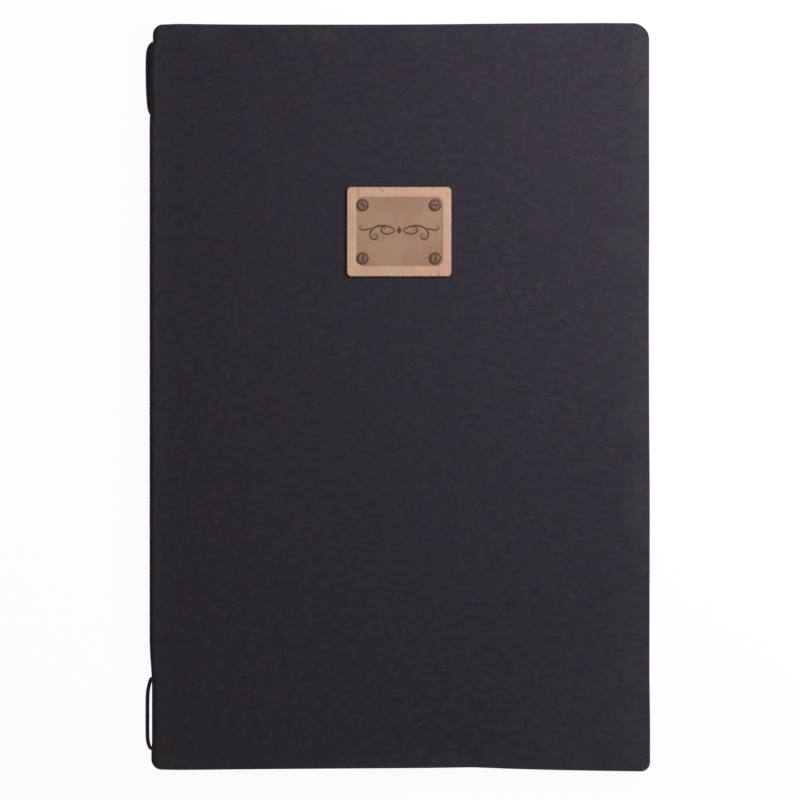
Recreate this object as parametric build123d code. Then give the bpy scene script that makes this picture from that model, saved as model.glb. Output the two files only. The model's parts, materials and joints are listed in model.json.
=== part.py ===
from build123d import *
import os
from math import pi

# A folding menu cover that lies closed on its back panel. A laminated front, spine and back are
# joined by two soft folds. One elastic loop through the spine holds two double page pockets.
# X runs from the spine to the fore edge, Y up the page and Z up through the closed stack.
# The origin is the centre of the back panel's outer face. All sizes are in millimetres.

# Cover, closed
cover_width = 228.0
cover_height = 340.0
spine_corner_r = 4.0
fore_top_corner_r = 5.2
fore_bottom_corner_r = 4.2

# Laminate
facing_t = 0.8
board_t = 1.2
spine_strip_t = 0.6
lining_t = 0.4
glue_t = 0.02

# Folds, where facing and lining are bonded with no board between them
fold_bend_r = 2.2
board_to_fold = 0.3
board_skive = 1.2
strip_skive = 0.3

# Page pockets and their sheets
film_t = 0.15
sheet_t = 0.3
sheet_width = 210.0
sheet_height = 297.0
pocket_weld = 2.0
sheet_side_play = 1.0
sheet_foot_play = 0.2
pocket_mouth = 5.8
leaf_gap = 0.3
web_gap = 0.6
outer_web_bend_r = 1.2
inner_web_bend_r = 0.9
outer_web_length = 0.85
inner_web_length = 1.25

# Elastic cord and the spine's holes for it
cord_d = 1.4
cord_play = 0.1
cord_hole_d = 2.0
end_hole_inset = 8.8
inner_hole_inset = 41.1
loop_stand_off = 0.33
back_strand_gap = 0.5
front_strand_gap = 0.15
cord_bend_r = 1.4
front_strand_bend_r = 4.0
crimp_d = 2.1
crimp_bore_play = 0.03
crimp_length = 6.0
crimp_y = 20.0
cord_end_gap = 0.4

# Label patch
label_width = 47.7
label_height = 40.9
label_t = 1.2
label_corner_r = 2.0
label_y = 75.1
field_width = 40.0
field_height = 32.0
field_depth = 0.25
field_corner_r = 3.4
label_edge_round = 0.25

# Rivets and the burr washers behind the board
rivet_pitch_x = 33.1
rivet_pitch_y = 24.3
rivet_head_d = 5.6
rivet_rim_height = 0.45
rivet_crown_d = 4.0
rivet_crown_height = 0.85
rivet_edge_round = 0.15
slot_width = 0.6
slot_length = 3.0
slot_depth = 0.3
slot_angles = (-45.0, 0.0, 75.0, 90.0)
shank_d = 2.2
shank_play = 0.05
washer_d = 4.8
washer_t = 0.3
tail_d = 3.2
tail_t = 0.3
recess_d = 5.4
recess_depth = 0.75

# Pocket sizes, thicknesses and levels that follow from them
pocket_width = sheet_width + 2 * (sheet_side_play + pocket_weld)
pocket_height = pocket_weld + sheet_foot_play + sheet_height + pocket_mouth
panel_t = facing_t + board_t + lining_t
spine_t = facing_t + spine_strip_t + lining_t
leaf_t = 2 * film_t + sheet_t
crotch_gap = cord_d + 2 * cord_play
inner_gap = 4 * leaf_t + 4 * leaf_gap + crotch_gap
closed_t = 2 * panel_t + inner_gap
mid_z = closed_t / 2
inner_leaf_z = mid_z - crotch_gap / 2 - leaf_t / 2
outer_leaf_z = inner_leaf_z - leaf_t - leaf_gap

# Places across the width
spine_x = -cover_width / 2
fore_x = cover_width / 2
spine_inner_x = spine_x + spine_t
fold_outer_r = fold_bend_r + facing_t / 2
fold_inner_r = fold_bend_r - facing_t / 2
tangent_x = spine_x + fold_outer_r
cord_r = cord_d / 2
loop_x = spine_x - loop_stand_off - cord_r
back_strand_x = spine_inner_x + back_strand_gap + cord_r
outer_web_x = back_strand_x + crimp_d / 2 + front_strand_gap + film_t
inner_web_x = outer_web_x + 2 * film_t + web_gap
front_strand_x = inner_web_x + film_t + front_strand_gap + cord_r
outer_root_x = outer_web_x + outer_web_bend_r + outer_web_length
inner_root_x = inner_web_x + inner_web_bend_r + inner_web_length

# Places up the page
half_height = cover_height / 2
end_hole_y = half_height - end_hole_inset
inner_hole_y = half_height - inner_hole_inset
hole_ys = (-end_hole_y, -inner_hole_y, inner_hole_y, end_hole_y)
spine_half_height = half_height - spine_corner_r


# Plain shapes and places


def fold_axis(corner_x, corner_z, bend_r):
    """Where a square fold turns, in X and Z. A strip bent to this radius keeps its length when flat."""
    inset = bend_r * (1 - pi / 4)
    return corner_x + inset, corner_z + inset


def slab(x0, x1, y0, y1, z0, z1):
    """A box given by its faces."""
    centre = Pos((x0 + x1) / 2, (y0 + y1) / 2, (z0 + z1) / 2)
    return centre * Box(x1 - x0, y1 - y0, z1 - z0)


def along_y(points, half_length):
    """A prism with this outline in X and Z, reaching as far both ways along Y."""
    outline = make_face(Polyline(*points, close=True).edges())
    return extrude(outline, amount=half_length, both=True)


def rod_y(x, z, radius, half_length):
    """A round bar along Y."""
    return Pos(x, 0, z) * Rot(90, 0, 0) * Cylinder(radius, 2 * half_length)


def in_front(piece):
    """The same piece on the other side of the closed stack's middle plane."""
    return mirror(piece, about=Plane.XY.offset(mid_z))


# The closed cover's outline seen from above, as a tool that trims every layer


def cover_trim():
    block = slab(spine_x, fore_x, -half_height, half_height, -1, closed_t + 1)
    corners = (
        (spine_x, -half_height, spine_corner_r),
        (spine_x, half_height, spine_corner_r),
        (fore_x, -half_height, fore_bottom_corner_r),
        (fore_x, half_height, fore_top_corner_r),
    )
    for x, y, radius in corners:
        upright = block.edges().filter_by(Axis.Z)
        block = fillet(upright.sort_by_distance((x, y, mid_z))[0], radius)
    return block


trim = cover_trim()


# Back panel, three bonded layers with their edges cut flush


def back_layers():
    start = tangent_x
    board_start = start + board_to_fold
    board_top = facing_t + board_t
    facing = slab(start, fore_x, -half_height, half_height, 0, facing_t)
    board = along_y(
        [
            (board_start, 0, facing_t),
            (fore_x, 0, facing_t),
            (fore_x, 0, board_top),
            (board_start + board_skive, 0, board_top),
        ],
        half_height,
    )
    lining = along_y(
        [
            (start, 0, facing_t),
            (board_start, 0, facing_t),
            (board_start + board_skive, 0, board_top),
            (fore_x, 0, board_top),
            (fore_x, 0, panel_t),
            (board_start + board_skive - lining_t / 2, 0, panel_t),
            (start, 0, facing_t + lining_t),
        ],
        half_height,
    )
    return facing & trim, board & trim, lining & trim


# Spine, narrower layers between the two folds, punched for the elastic


def spine_layers():
    low, high = fold_outer_r, closed_t - fold_outer_r
    half = spine_half_height
    strip_x = spine_x + facing_t
    strip_top_x = strip_x + spine_strip_t
    strip_low, strip_high = low + board_to_fold, high - board_to_fold
    facing = slab(spine_x, strip_x, -half, half, low, high)
    strip = along_y(
        [
            (strip_x, 0, strip_low),
            (strip_x, 0, strip_high),
            (strip_top_x, 0, strip_high - strip_skive),
            (strip_top_x, 0, strip_low + strip_skive),
        ],
        half,
    )
    lining = along_y(
        [
            (strip_x, 0, low),
            (strip_x, 0, strip_low),
            (strip_top_x, 0, strip_low + strip_skive),
            (strip_top_x, 0, strip_high - strip_skive),
            (strip_x, 0, strip_high),
            (strip_x, 0, high),
            (strip_x + lining_t, 0, high),
            (spine_inner_x, 0, strip_high - strip_skive),
            (spine_inner_x, 0, strip_low + strip_skive),
            (strip_x + lining_t, 0, low),
        ],
        half,
    )
    punch_x = (spine_x + spine_inner_x) / 2
    for y in hole_ys:
        punch = Pos(punch_x, y, mid_z) * Rot(0, 90, 0) * Cylinder(cord_hole_d / 2, 4 * spine_t)
        facing -= punch
        strip -= punch
        lining -= punch
    return facing, strip, lining


# Folds, a quarter bend of the facing with the lining bonded inside it


def back_fold(outer_r, inner_r):
    bend = rod_y(tangent_x, fold_outer_r, outer_r, half_height)
    bend -= rod_y(tangent_x, fold_outer_r, inner_r, cover_height)
    corner = slab(spine_x - 1, tangent_x, -half_height, half_height, -1, fold_outer_r)
    return bend & corner & trim


# Front panel, the back panel's twin with holes for the rivets


def rivet_places():
    x, y = rivet_pitch_x / 2, rivet_pitch_y / 2
    return [Pos(sx * x, label_y + sy * y, 0) for sx, sy in ((-1, 1), (1, 1), (-1, -1), (1, -1))]


def front_layers():
    facing, board, lining = [in_front(layer) for layer in back_layers()]
    board_under = closed_t - facing_t - board_t
    for place in rivet_places():
        hole = Pos(0, 0, closed_t) * Cylinder(shank_d / 2 + shank_play, 4 * panel_t)
        recess_z = board_under + recess_depth / 2
        recess = Pos(0, 0, recess_z) * Cylinder(recess_d / 2, recess_depth)
        facing -= place * hole
        board -= place * hole
        board -= place * recess
    return facing, board, lining


# Label, a leather patch whose middle is pressed down into a field


def label_patch():
    outline = RectangleRounded(label_width, label_height, label_corner_r)
    patch = Pos(0, label_y, closed_t) * extrude(outline, amount=label_t)
    patch = fillet(patch.faces().sort_by(Axis.Z)[-1].edges(), label_edge_round)
    field = RectangleRounded(field_width, field_height, field_corner_r)
    patch -= Pos(0, label_y, closed_t + label_t - field_depth) * extrude(field, amount=1)
    for place in rivet_places():
        patch -= place * Pos(0, 0, closed_t) * Cylinder(shank_d / 2 + shank_play, 4 * label_t)
    return patch


def rivet(slot_angle):
    """A rivet with its head on the label's field and its tail peened over the washer."""
    seat = closed_t + label_t - field_depth
    washer_top = closed_t - facing_t - board_t + recess_depth
    tail_top = washer_top - washer_t
    rim = Cylinder(rivet_head_d / 2, rivet_rim_height, align=(Align.CENTER, Align.CENTER, Align.MIN))
    rim = fillet(rim.faces().sort_by(Axis.Z)[-1].edges(), rivet_edge_round)
    crown = Cylinder(rivet_crown_d / 2, rivet_crown_height, align=(Align.CENTER, Align.CENTER, Align.MIN))
    crown = fillet(crown.faces().sort_by(Axis.Z)[-1].edges(), rivet_edge_round)
    slot = Pos(0, 0, rivet_crown_height) * Rot(0, 0, slot_angle)
    slot *= Box(slot_length, slot_width, 2 * slot_depth)
    head = Pos(0, 0, seat) * (rim + crown - slot)
    shank_length = seat - tail_top
    shank = Pos(0, 0, tail_top + shank_length / 2) * Cylinder(shank_d / 2, shank_length)
    tail = Pos(0, 0, tail_top - tail_t / 2) * Cylinder(tail_d / 2, tail_t)
    return head + shank + tail


def burr_washer():
    washer_top = closed_t - facing_t - board_t + recess_depth
    ring = Cylinder(washer_d / 2, washer_t) - Cylinder(shank_d / 2 + shank_play, 2 * washer_t)
    return Pos(0, 0, washer_top - washer_t / 2) * ring


# Elastic, one cord whose ends meet in the crimp behind the pockets


def elastic_route():
    """The cord's middle line from one end in the crimp, round all four holes, to the other end."""
    corners = [
        (back_strand_x, inner_hole_y),
        (loop_x, inner_hole_y),
        (loop_x, end_hole_y),
        (front_strand_x, end_hole_y),
        (front_strand_x, -end_hole_y),
        (loop_x, -end_hole_y),
        (loop_x, -inner_hole_y),
        (back_strand_x, -inner_hole_y),
    ]
    first = (back_strand_x, crimp_y + cord_end_gap / 2)
    last = (back_strand_x, crimp_y - cord_end_gap / 2)
    radii = [cord_bend_r] * 3 + [front_strand_bend_r] * 2 + [cord_bend_r] * 3
    points = [(x, y, mid_z) for x, y in [first] + corners + [last]]
    print("elastic bend radii", radii)
    return FilletPolyline(*points, radius=radii)


def elastic_cord():
    route = elastic_route()
    section = Plane(origin=route @ 0, z_dir=route % 0) * Circle(cord_r)
    cord = sweep(section, path=route)
    expected = pi * cord_r**2 * route.length
    print(f"elastic length {route.length:.1f} mm, volume {cord.volume:.2f} for {expected:.2f} mm3")
    return cord


def elastic_crimp():
    sleeve = Cylinder(crimp_d / 2, crimp_length) - Cylinder(cord_r + crimp_bore_play, 2 * crimp_length)
    return Pos(back_strand_x, crimp_y, mid_z) * Rot(90, 0, 0) * sleeve


# Page pockets, each two film sleeves joined by a folded web


def sleeve(root_x, leaf_z):
    """A film sleeve, welded on three sides and open at its top edge."""
    half = pocket_height / 2
    low, high = leaf_z - leaf_t / 2, leaf_z + leaf_t / 2
    shell = slab(root_x, root_x + pocket_width, -half, half, low, high)
    side_in = root_x + pocket_weld
    side_out = root_x + pocket_width - pocket_weld
    inside = slab(side_in, side_out, pocket_weld - half, half + 1, low + film_t, high - film_t)
    return shell - inside


def sheet(root_x, leaf_z):
    """A page, held between the two films."""
    middle_x = root_x + pocket_width / 2
    foot = pocket_weld - pocket_height / 2 + sheet_foot_play
    low, high = leaf_z - sheet_t / 2, leaf_z + sheet_t / 2
    half = sheet_width / 2
    return slab(middle_x - half, middle_x + half, foot, foot + sheet_height, low, high)


def folded_web(web_x, root_x, leaf_z, bend_r):
    """The film between a pocket's two sleeves, folded round the elastic's side of the spine."""
    drop = mid_z - leaf_z
    half = pocket_height / 2

    def block(thicker, reach):
        """A block with its spine side rounded, reaching further at its open side and ends."""
        low, high = leaf_z - thicker, mid_z + drop + thicker
        body = slab(web_x - thicker, root_x + reach, -half - reach, half + reach, low, high)
        bends = body.edges().filter_by(Axis.Y).group_by(Axis.X)[0]
        return fillet(bends, bend_r + thicker)

    return block(film_t, 0) - block(-film_t, 1)


# Everything above, one file for each node


def all_nodes():
    nodes = {}
    for name, piece in zip(("facing", "board", "lining"), back_layers()):
        nodes[f"back_{name}"] = piece
    for name, piece in zip(("facing", "strip", "lining"), spine_layers()):
        nodes[f"spine_{name}"] = piece
    for name, piece in zip(("facing", "board", "lining"), front_layers()):
        nodes[f"front_{name}"] = piece
    skin = back_fold(fold_outer_r, fold_inner_r)
    inside = back_fold(fold_inner_r - glue_t, fold_inner_r - lining_t)
    for name, piece in (("facing", skin), ("lining", inside)):
        nodes[f"back_fold_{name}"] = piece
        nodes[f"front_fold_{name}"] = in_front(piece)
    nodes["label_patch"] = label_patch()
    places = rivet_places()
    heads = [place * rivet(angle) for place, angle in zip(places, slot_angles)]
    nodes["label_rivets"] = Compound(children=heads)
    nodes["rivet_washers"] = Compound(children=[place * burr_washer() for place in places])
    nodes["elastic_cord"] = elastic_cord()
    nodes["elastic_crimp"] = elastic_crimp()
    pockets = (
        ("outer", outer_web_x, outer_root_x, outer_leaf_z, outer_web_bend_r),
        ("inner", inner_web_x, inner_root_x, inner_leaf_z, inner_web_bend_r),
    )
    for name, web_x, root_x, leaf_z, bend_r in pockets:
        nodes[f"{name}_pocket_web"] = folded_web(web_x, root_x, leaf_z, bend_r)
        nodes[f"{name}_back_sleeve"] = sleeve(root_x, leaf_z)
        nodes[f"{name}_back_sheet"] = sheet(root_x, leaf_z)
        nodes[f"{name}_front_sleeve"] = in_front(sleeve(root_x, leaf_z))
        nodes[f"{name}_front_sheet"] = in_front(sheet(root_x, leaf_z))
    return nodes


folds = {
    "cover": fold_axis(spine_x + facing_t / 2, facing_t / 2, fold_bend_r),
    "outer pocket": fold_axis(outer_web_x, outer_leaf_z, outer_web_bend_r),
    "inner pocket": fold_axis(inner_web_x, inner_leaf_z, inner_web_bend_r),
}
for name, (x, z) in folds.items():
    print(f"{name} folds at x {x:.3f}, z {z:.3f} at the back and {closed_t - z:.3f} at the front")

os.makedirs("parts", exist_ok=True)
for node, piece in all_nodes().items():
    piece.label = node
    export_step(piece, f"parts/{node}.step")
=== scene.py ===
import json
import math

import bmesh
import bpy
from mathutils import Matrix, Vector, kdtree, noise

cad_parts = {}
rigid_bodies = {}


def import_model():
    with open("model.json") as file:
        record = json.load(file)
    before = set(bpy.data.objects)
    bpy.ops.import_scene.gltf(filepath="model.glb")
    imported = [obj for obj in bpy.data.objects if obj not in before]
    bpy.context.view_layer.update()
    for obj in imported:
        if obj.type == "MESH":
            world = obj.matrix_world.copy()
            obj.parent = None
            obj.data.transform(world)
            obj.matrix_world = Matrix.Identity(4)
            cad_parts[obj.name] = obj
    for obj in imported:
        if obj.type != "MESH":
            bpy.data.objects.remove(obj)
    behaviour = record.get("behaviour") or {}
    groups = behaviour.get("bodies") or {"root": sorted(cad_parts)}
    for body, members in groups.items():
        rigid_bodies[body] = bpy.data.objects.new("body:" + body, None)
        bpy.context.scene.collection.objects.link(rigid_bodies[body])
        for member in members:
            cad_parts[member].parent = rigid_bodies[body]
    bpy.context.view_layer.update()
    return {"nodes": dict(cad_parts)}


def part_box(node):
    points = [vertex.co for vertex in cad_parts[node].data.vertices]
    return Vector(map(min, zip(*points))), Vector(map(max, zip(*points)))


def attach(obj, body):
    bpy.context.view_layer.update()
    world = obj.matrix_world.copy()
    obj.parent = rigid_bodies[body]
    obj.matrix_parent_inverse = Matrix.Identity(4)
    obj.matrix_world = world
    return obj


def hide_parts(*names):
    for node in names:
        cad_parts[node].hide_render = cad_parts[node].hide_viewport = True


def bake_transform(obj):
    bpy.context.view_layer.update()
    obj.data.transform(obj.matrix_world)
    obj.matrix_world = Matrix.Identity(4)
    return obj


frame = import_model()

# The photograph's view, from straight above with the spine on the left. A long lens keeps the
# outline of the flat cover even, and the picture is as wide as the cover's front face needs.

MM = 0.001
view_width = 365.2 * MM
view_centre = Vector((0.43, -1.69, 0)) * MM
lens_length = 300
sensor_width = 36


def added(name, data):
    """A new object in the scene, at the origin and unturned."""
    made = bpy.data.objects.new(name, data)
    bpy.context.scene.collection.objects.link(made)
    return made


front_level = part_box("front_facing")[1].z
camera_data = bpy.data.cameras.new("photo_camera")
camera_data.lens = lens_length
camera_data.sensor_width = sensor_width
camera_data.clip_end = 50
camera = added("photo_camera", camera_data)
camera_height = front_level + view_width * lens_length / sensor_width
camera.location = view_centre + Vector((0, 0, camera_height))
bpy.context.scene.camera = camera
bpy.context.scene.view_settings.view_transform = "Standard"

# Studio. A pale table that shows as white and keeps a faint shadow, soft light from all round,
# and one large soft lamp high on the right, which leaves the lower left corner a little darker.

lamp_place = Vector((0.42, 0.27, 0.38))
lamp_aim = Vector((0.3, 0.24, 0))
lamp_side = 0.4
lamp_power = 4.9
room_light = 0.22
floor_half = 3.0
floor_share = 0.05
floor_colour = (0.96, 0.96, 0.96, 1)
white = (1, 1, 1, 1)


def feed(tree, node, inputs):
    """Fills a node's inputs, each with a value or with another node's socket."""
    for name, value in inputs.items():
        if isinstance(value, bpy.types.NodeSocket):
            tree.links.new(value, node.inputs[name])
        else:
            node.inputs[name].default_value = value


def put(tree, kind, inputs=None, **settings):
    """A new shader node with its settings and its inputs."""
    made = tree.nodes.new(kind)
    for name, value in settings.items():
        setattr(made, name, value)
    feed(tree, made, inputs or {})
    return made


def math_of(tree, operation, *values):
    return put(tree, "ShaderNodeMath", dict(enumerate(values)), operation=operation).outputs[0]


def times(tree, value, factor):
    return math_of(tree, "MULTIPLY", value, factor)


def seen_directly(tree):
    """1 for what the camera sees itself, in a reflection or through clear film, else 0."""
    path = put(tree, "ShaderNodeLightPath").outputs
    seen = math_of(tree, "MAXIMUM", path["Is Camera Ray"], path["Is Glossy Ray"])
    return math_of(tree, "MAXIMUM", seen, path["Is Transmission Ray"])


def either(tree, share, lit, shown, output):
    """Ends a tree in a mix of two shaders, with the share of the second one."""
    inputs = {0: share, 1: lit.outputs[0], 2: shown.outputs[0]}
    put(tree, output, {"Surface": put(tree, "ShaderNodeMixShader", inputs).outputs[0]})


def white_room():
    world = bpy.data.worlds.new("white_room")
    world.use_nodes = True
    tree = world.node_tree
    tree.nodes.clear()
    lit = put(tree, "ShaderNodeBackground", {"Color": white, "Strength": room_light})
    shown = put(tree, "ShaderNodeBackground", {"Color": white, "Strength": 1})
    either(tree, seen_directly(tree), lit, shown, "ShaderNodeOutputWorld")
    return world


def table_finish():
    made = bpy.data.materials.new("white_table")
    made.use_nodes = True
    tree = made.node_tree
    tree.nodes.clear()
    lit = put(tree, "ShaderNodeBsdfDiffuse", {"Color": floor_colour})
    shown = put(tree, "ShaderNodeEmission", {"Color": white, "Strength": 1})
    share = times(tree, seen_directly(tree), 1 - floor_share)
    either(tree, share, lit, shown, "ShaderNodeOutputMaterial")
    return made


def mesh_of(bm, name):
    """A mesh with what the bmesh holds, which is freed."""
    mesh = bpy.data.meshes.new(name)
    bm.to_mesh(mesh)
    bm.free()
    return mesh


bpy.context.scene.world = white_room()

lamp_data = bpy.data.lights.new("soft_lamp", "AREA")
lamp_data.shape = "SQUARE"
lamp_data.size = lamp_side
lamp_data.energy = lamp_power
lamp = added("soft_lamp", lamp_data)
lamp.location = lamp_place
lamp.rotation_mode = "QUATERNION"
lamp.rotation_quaternion = (lamp_aim - lamp_place).to_track_quat("-Z", "Y")

table_bm = bmesh.new()
bmesh.ops.create_grid(table_bm, x_segments=1, y_segments=1, size=floor_half)
table = added("table", mesh_of(table_bm, "table"))
table.data.materials.append(table_finish())

# Cover facing, one sheet of charcoal nubuck-look regenerated leather laid over front, spine and back.
# It is cut flat, its edges softened, bent at the two folds and pressed on the boards. Each half runs to
# the middle of the spine.

facing_colours = {
    "base": (49, 44, 54),
    "ashen": (45, 46, 49),
    "brown": (56, 45, 49),
    "light": (80, 76, 84),
    "dark": (30, 27, 32),
    # A paler tone in a wide band along the edges and where the folds are rubbed
    "handled": (62, 59, 62),
    # The very edge's lighter tone: partly wear, partly a painted highlight where the rounded cut edges
    # catch the light
    "worn": (88, 84, 88),
}
facing_edge_round = 0.16
corner_rs = (4.2, 7.0)
corner_steps = 14
fold_steps = 9
hole_radius = 1.0
hole_sides = 28
same_place = 1e-6
cut_snap = 0.001

# A through hole's punch, in thicknesses of the sheet that it is struck through
punch_length = 4

# The old cover's edges as they lie, at places along each edge: millimetres off the straight line
head_edge = (
    (-109, -0.2), (-101, 0.05), (-73, -0.28), (0, -0.28),
    (37, 0.05), (64, 0.33), (105, 0.45), (112, 0),
)
foot_edge = (
    (-112, -0.45), (-100, -0.6), (-75, -0.42), (-59, -0.17), (0, 0.15),
    (37, 0.6), (64, -0.55), (92, -1.05), (108, -1.27),
)
fore_edge = (
    (-150, 0.62), (-125, 0.35), (-50, 0.48), (0, 0.17),
    (40, 0.06), (90, 0.24), (118, 0.16), (150, 0.19),
)
spine_pull = (
    (-162, 0.8), (-157, 1.1), (-133, 1.1), (-111, 0),
    (127.2, 0), (130, 0.7), (131, 0.7), (135, 0), (157.5, 0.15), (163, 1.5),
)
edge_reach = 60.0
pull_reach = 14.0


def corners_mm(node):
    """A node's lowest and highest corner in millimetres, the unit that the pieces are cut in."""
    return [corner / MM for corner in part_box(node)]


spine_x = corners_mm("spine_facing")[0].x
tangent_x = corners_mm("back_facing")[0].x
fore_x = corners_mm("back_facing")[1].x
half_height = corners_mm("back_facing")[1].y
closed_t = corners_mm("front_facing")[1].z
facing_t = corners_mm("back_facing")[1].z
spine_half_height = corners_mm("spine_facing")[1].y
worn_corner = 1.2
spine_corner_r = worn_corner * (half_height - spine_half_height)
fold_outer_r = tangent_x - spine_x
fold_mid_r = fold_outer_r - facing_t / 2
fold_length = fold_mid_r * math.pi / 2
spine_width = closed_t - 2 * fold_outer_r
panel_width = fore_x - tangent_x
cord_hole_ys = (-161.2, -128.9, 128.9, 161.2)

# Beyond this distance from the middle the sheet is drawn in to the cover's corners at the spine
squeeze_from = 162.2


def eased(points, at):
    """The value at a place, running smoothly from one given point to the next."""
    if at <= points[0][0]:
        return points[0][1]
    for (start, first), (end, last) in zip(points, points[1:]):
        if at <= end:
            share = (at - start) / (end - start)
            return first + (last - first) * share * share * (3 - 2 * share)
    return points[-1][1]


def ramp(value, start, end):
    """0 at start, 1 at end and smooth between them."""
    return eased(((start, 0), (end, 1)), value)


def settled(x, y):
    """A place of the closed cover, moved as the edges have crept and the elastic pulls the spine."""
    near_edge = ramp(abs(y), half_height - edge_reach, half_height)
    edge = head_edge if y > 0 else foot_edge
    near_fore = ramp(x, fore_x - edge_reach, fore_x)
    near_spine = 1 - ramp(x, tangent_x, tangent_x + pull_reach)
    return (
        x + near_fore * eased(fore_edge, y) + near_spine * eased(spine_pull, y),
        y + near_edge * eased(edge, x),
    )


def end_of(x):
    """How far up the page the cover reaches at a distance from the spine, round its corner."""
    inside = min(spine_corner_r, max(0, x - spine_x))
    return half_height - spine_corner_r + math.sqrt(spine_corner_r**2 - (spine_corner_r - inside) ** 2)


def wrapped(flat, front):
    """Where a point of a flat layer lies on the closed cover. Its height runs inwards from outside."""
    radius = fold_outer_r - flat.z
    x, z, y = tangent_x + flat.x, flat.z, flat.y
    outer_x = x
    if flat.x < 0:
        turn = min(-flat.x / fold_mid_r, math.pi / 2)
        x = tangent_x - radius * math.sin(turn)
        z = fold_outer_r - radius * math.cos(turn) + max(0, -flat.x - fold_length)
        outer_x = tangent_x - fold_outer_r * math.sin(turn)
    if abs(y) > squeeze_from:
        share = (end_of(outer_x) - squeeze_from) / (half_height - squeeze_from)
        y = math.copysign(squeeze_from + (abs(y) - squeeze_from) * share, y)
    x, y = settled(x, y)
    return Vector((x, y, closed_t - z if front else z))


def facing_out(bm):
    """Turns every face outwards, by the normals that the faces have now."""
    bm.normal_update()
    bmesh.ops.recalc_face_normals(bm, faces=bm.faces)


def flat_sheet(left, right, half_length, thickness, edge_round, seams=(), fore_corners=(0, 0)):
    """A flat sheet with rounded fore corners and soft edges, square along its seams."""
    bm = bmesh.new()
    bmesh.ops.create_grid(bm, x_segments=1, y_segments=1, size=1)
    for v in bm.verts:
        v.co.x = left if v.co.x < 0 else right
        v.co.y *= half_length
    for up, radius in zip((-1, 1), fore_corners):
        corner = max(bm.verts, key=lambda v: v.co.x + up * v.co.y)
        if radius:
            bmesh.ops.bevel(
                bm, geom=[corner], offset=radius, offset_type="OFFSET", segments=corner_steps,
                profile=0.5, affect="VERTICES", material=-1,
            )
    raised = bmesh.ops.extrude_face_region(bm, geom=bm.faces[:])
    raised_verts = [v for v in raised["geom"] if isinstance(v, bmesh.types.BMVert)]
    bmesh.ops.translate(bm, vec=(0, 0, thickness), verts=raised_verts)
    facing_out(bm)
    rim = [
        e for e in bm.edges
        if abs(e.verts[0].co.z - e.verts[1].co.z) < same_place
        and not any(all(abs(v.co.x - seam) < same_place for v in e.verts) for seam in seams)
    ]
    bmesh.ops.bevel(
        bm, geom=rim, offset=edge_round, offset_type="OFFSET", segments=2,
        profile=0.5, affect="EDGES", material=-1,
    )
    return bm


def punched(bm, holes):
    """The flat sheet with round holes, each given by its centre, radius and depth."""
    punch_bm = bmesh.new()
    for centre, radius, depth in holes:
        bmesh.ops.create_cone(
            punch_bm, cap_ends=True, segments=hole_sides, radius1=radius, radius2=radius,
            depth=depth, matrix=Matrix.Translation(centre),
        )
    meshes = [mesh_of(bm, "sheet"), mesh_of(punch_bm, "punch")]
    sheet, punch = [added(mesh.name, mesh) for mesh in meshes]
    cut = sheet.modifiers.new("holes", "BOOLEAN")
    cut.object = punch
    cut.solver = "EXACT"
    evaluated = sheet.evaluated_get(bpy.context.evaluated_depsgraph_get())
    meshes.append(bpy.data.meshes.new_from_object(evaluated))
    result = bmesh.new()
    result.from_mesh(meshes[-1])
    bpy.data.batch_remove([sheet, punch, *meshes])
    return result


def scored(bm, across=(), along=()):
    """Cuts the sheet's faces along straight lines, so that it can bend and settle there."""
    for places, direction in ((across, Vector((1, 0, 0))), (along, Vector((0, 1, 0)))):
        for place in places:
            bmesh.ops.bisect_plane(
                bm, geom=bm.verts[:] + bm.edges[:] + bm.faces[:], dist=cut_snap,
                plane_co=direction * place, plane_no=direction,
            )
    return bm


def marked_flat(bm, front=False):
    """Keeps each point's place on the flat sheet in metres as a UV map, front, spine and back in one."""
    uv = bm.loops.layers.uv.new("flat")
    bm.normal_update()
    for face in bm.faces:
        rim = face.normal if abs(face.normal.z) < 0.5 else Vector((0, 0, 0))
        for loop in face.loops:
            place = loop.vert.co + rim * loop.vert.co.z
            along = -2 * fold_length - spine_width - place.x if front else place.x
            loop[uv].uv = (along * MM, place.y * MM)
    return bm


def closed_up(bm, name, finish, front=False):
    """Lays the flat sheet on the closed cover, in metres, and makes it a piece."""
    for v in bm.verts:
        v.co = wrapped(v.co, front) * MM
    facing_out(bm)
    return as_piece(bm, name, finish)


def as_piece(bm, name, finish, crease=40):
    """A finished piece whose shading is led by its large faces and breaks at sharp edges."""
    mesh = mesh_of(bm, name)
    mesh.materials.append(finish)
    mesh.shade_smooth()
    mesh.set_sharp_from_angle(angle=math.radians(crease))
    piece = added(name, mesh)
    normals = piece.modifiers.new("even_shading", "WEIGHTED_NORMAL")
    normals.keep_sharp = True
    return piece


# Lines on which the sheet is divided, closer together where it bends or the elastic pulls it
fold_lines = [-fold_length * step / fold_steps for step in range(fold_steps + 1)]
panel_lines = fold_lines + [0.7, 1.4, 3, 5, 8, 11, 15, *range(25, 225, 20)]
height_lines = [*range(-100, 120, 20)]
for near_end in ((112, 118, 124, 128, 132, 140, 148), (154, 157, 158.5, 160, 161.5, 163, 165, 167, 168.5)):
    height_lines += [up * y for up in (-1, 1) for y in near_end]


def tone(colour):
    """A colour given as 0 to 255 on a screen, for a shader."""
    shares = [c / 255 for c in colour]
    return (*[s / 12.92 if s < 0.04045 else ((s + 0.055) / 1.055) ** 2.4 for s in shares], 1)


def within(tree, value, low, high, to_low=0.0, to_high=1.0):
    """A value carried smoothly from one range to another."""
    limits = {"Value": value, "From Min": low, "From Max": high, "To Min": to_low, "To Max": to_high}
    return put(tree, "ShaderNodeMapRange", limits, interpolation_type="SMOOTHSTEP").outputs[0]


def mixed(tree, share, first, second):
    """Two colours mixed, with the second one's share."""
    return put(tree, "ShaderNodeMix", {0: share, 6: first, 7: second}, data_type="RGBA").outputs[2]


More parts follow.
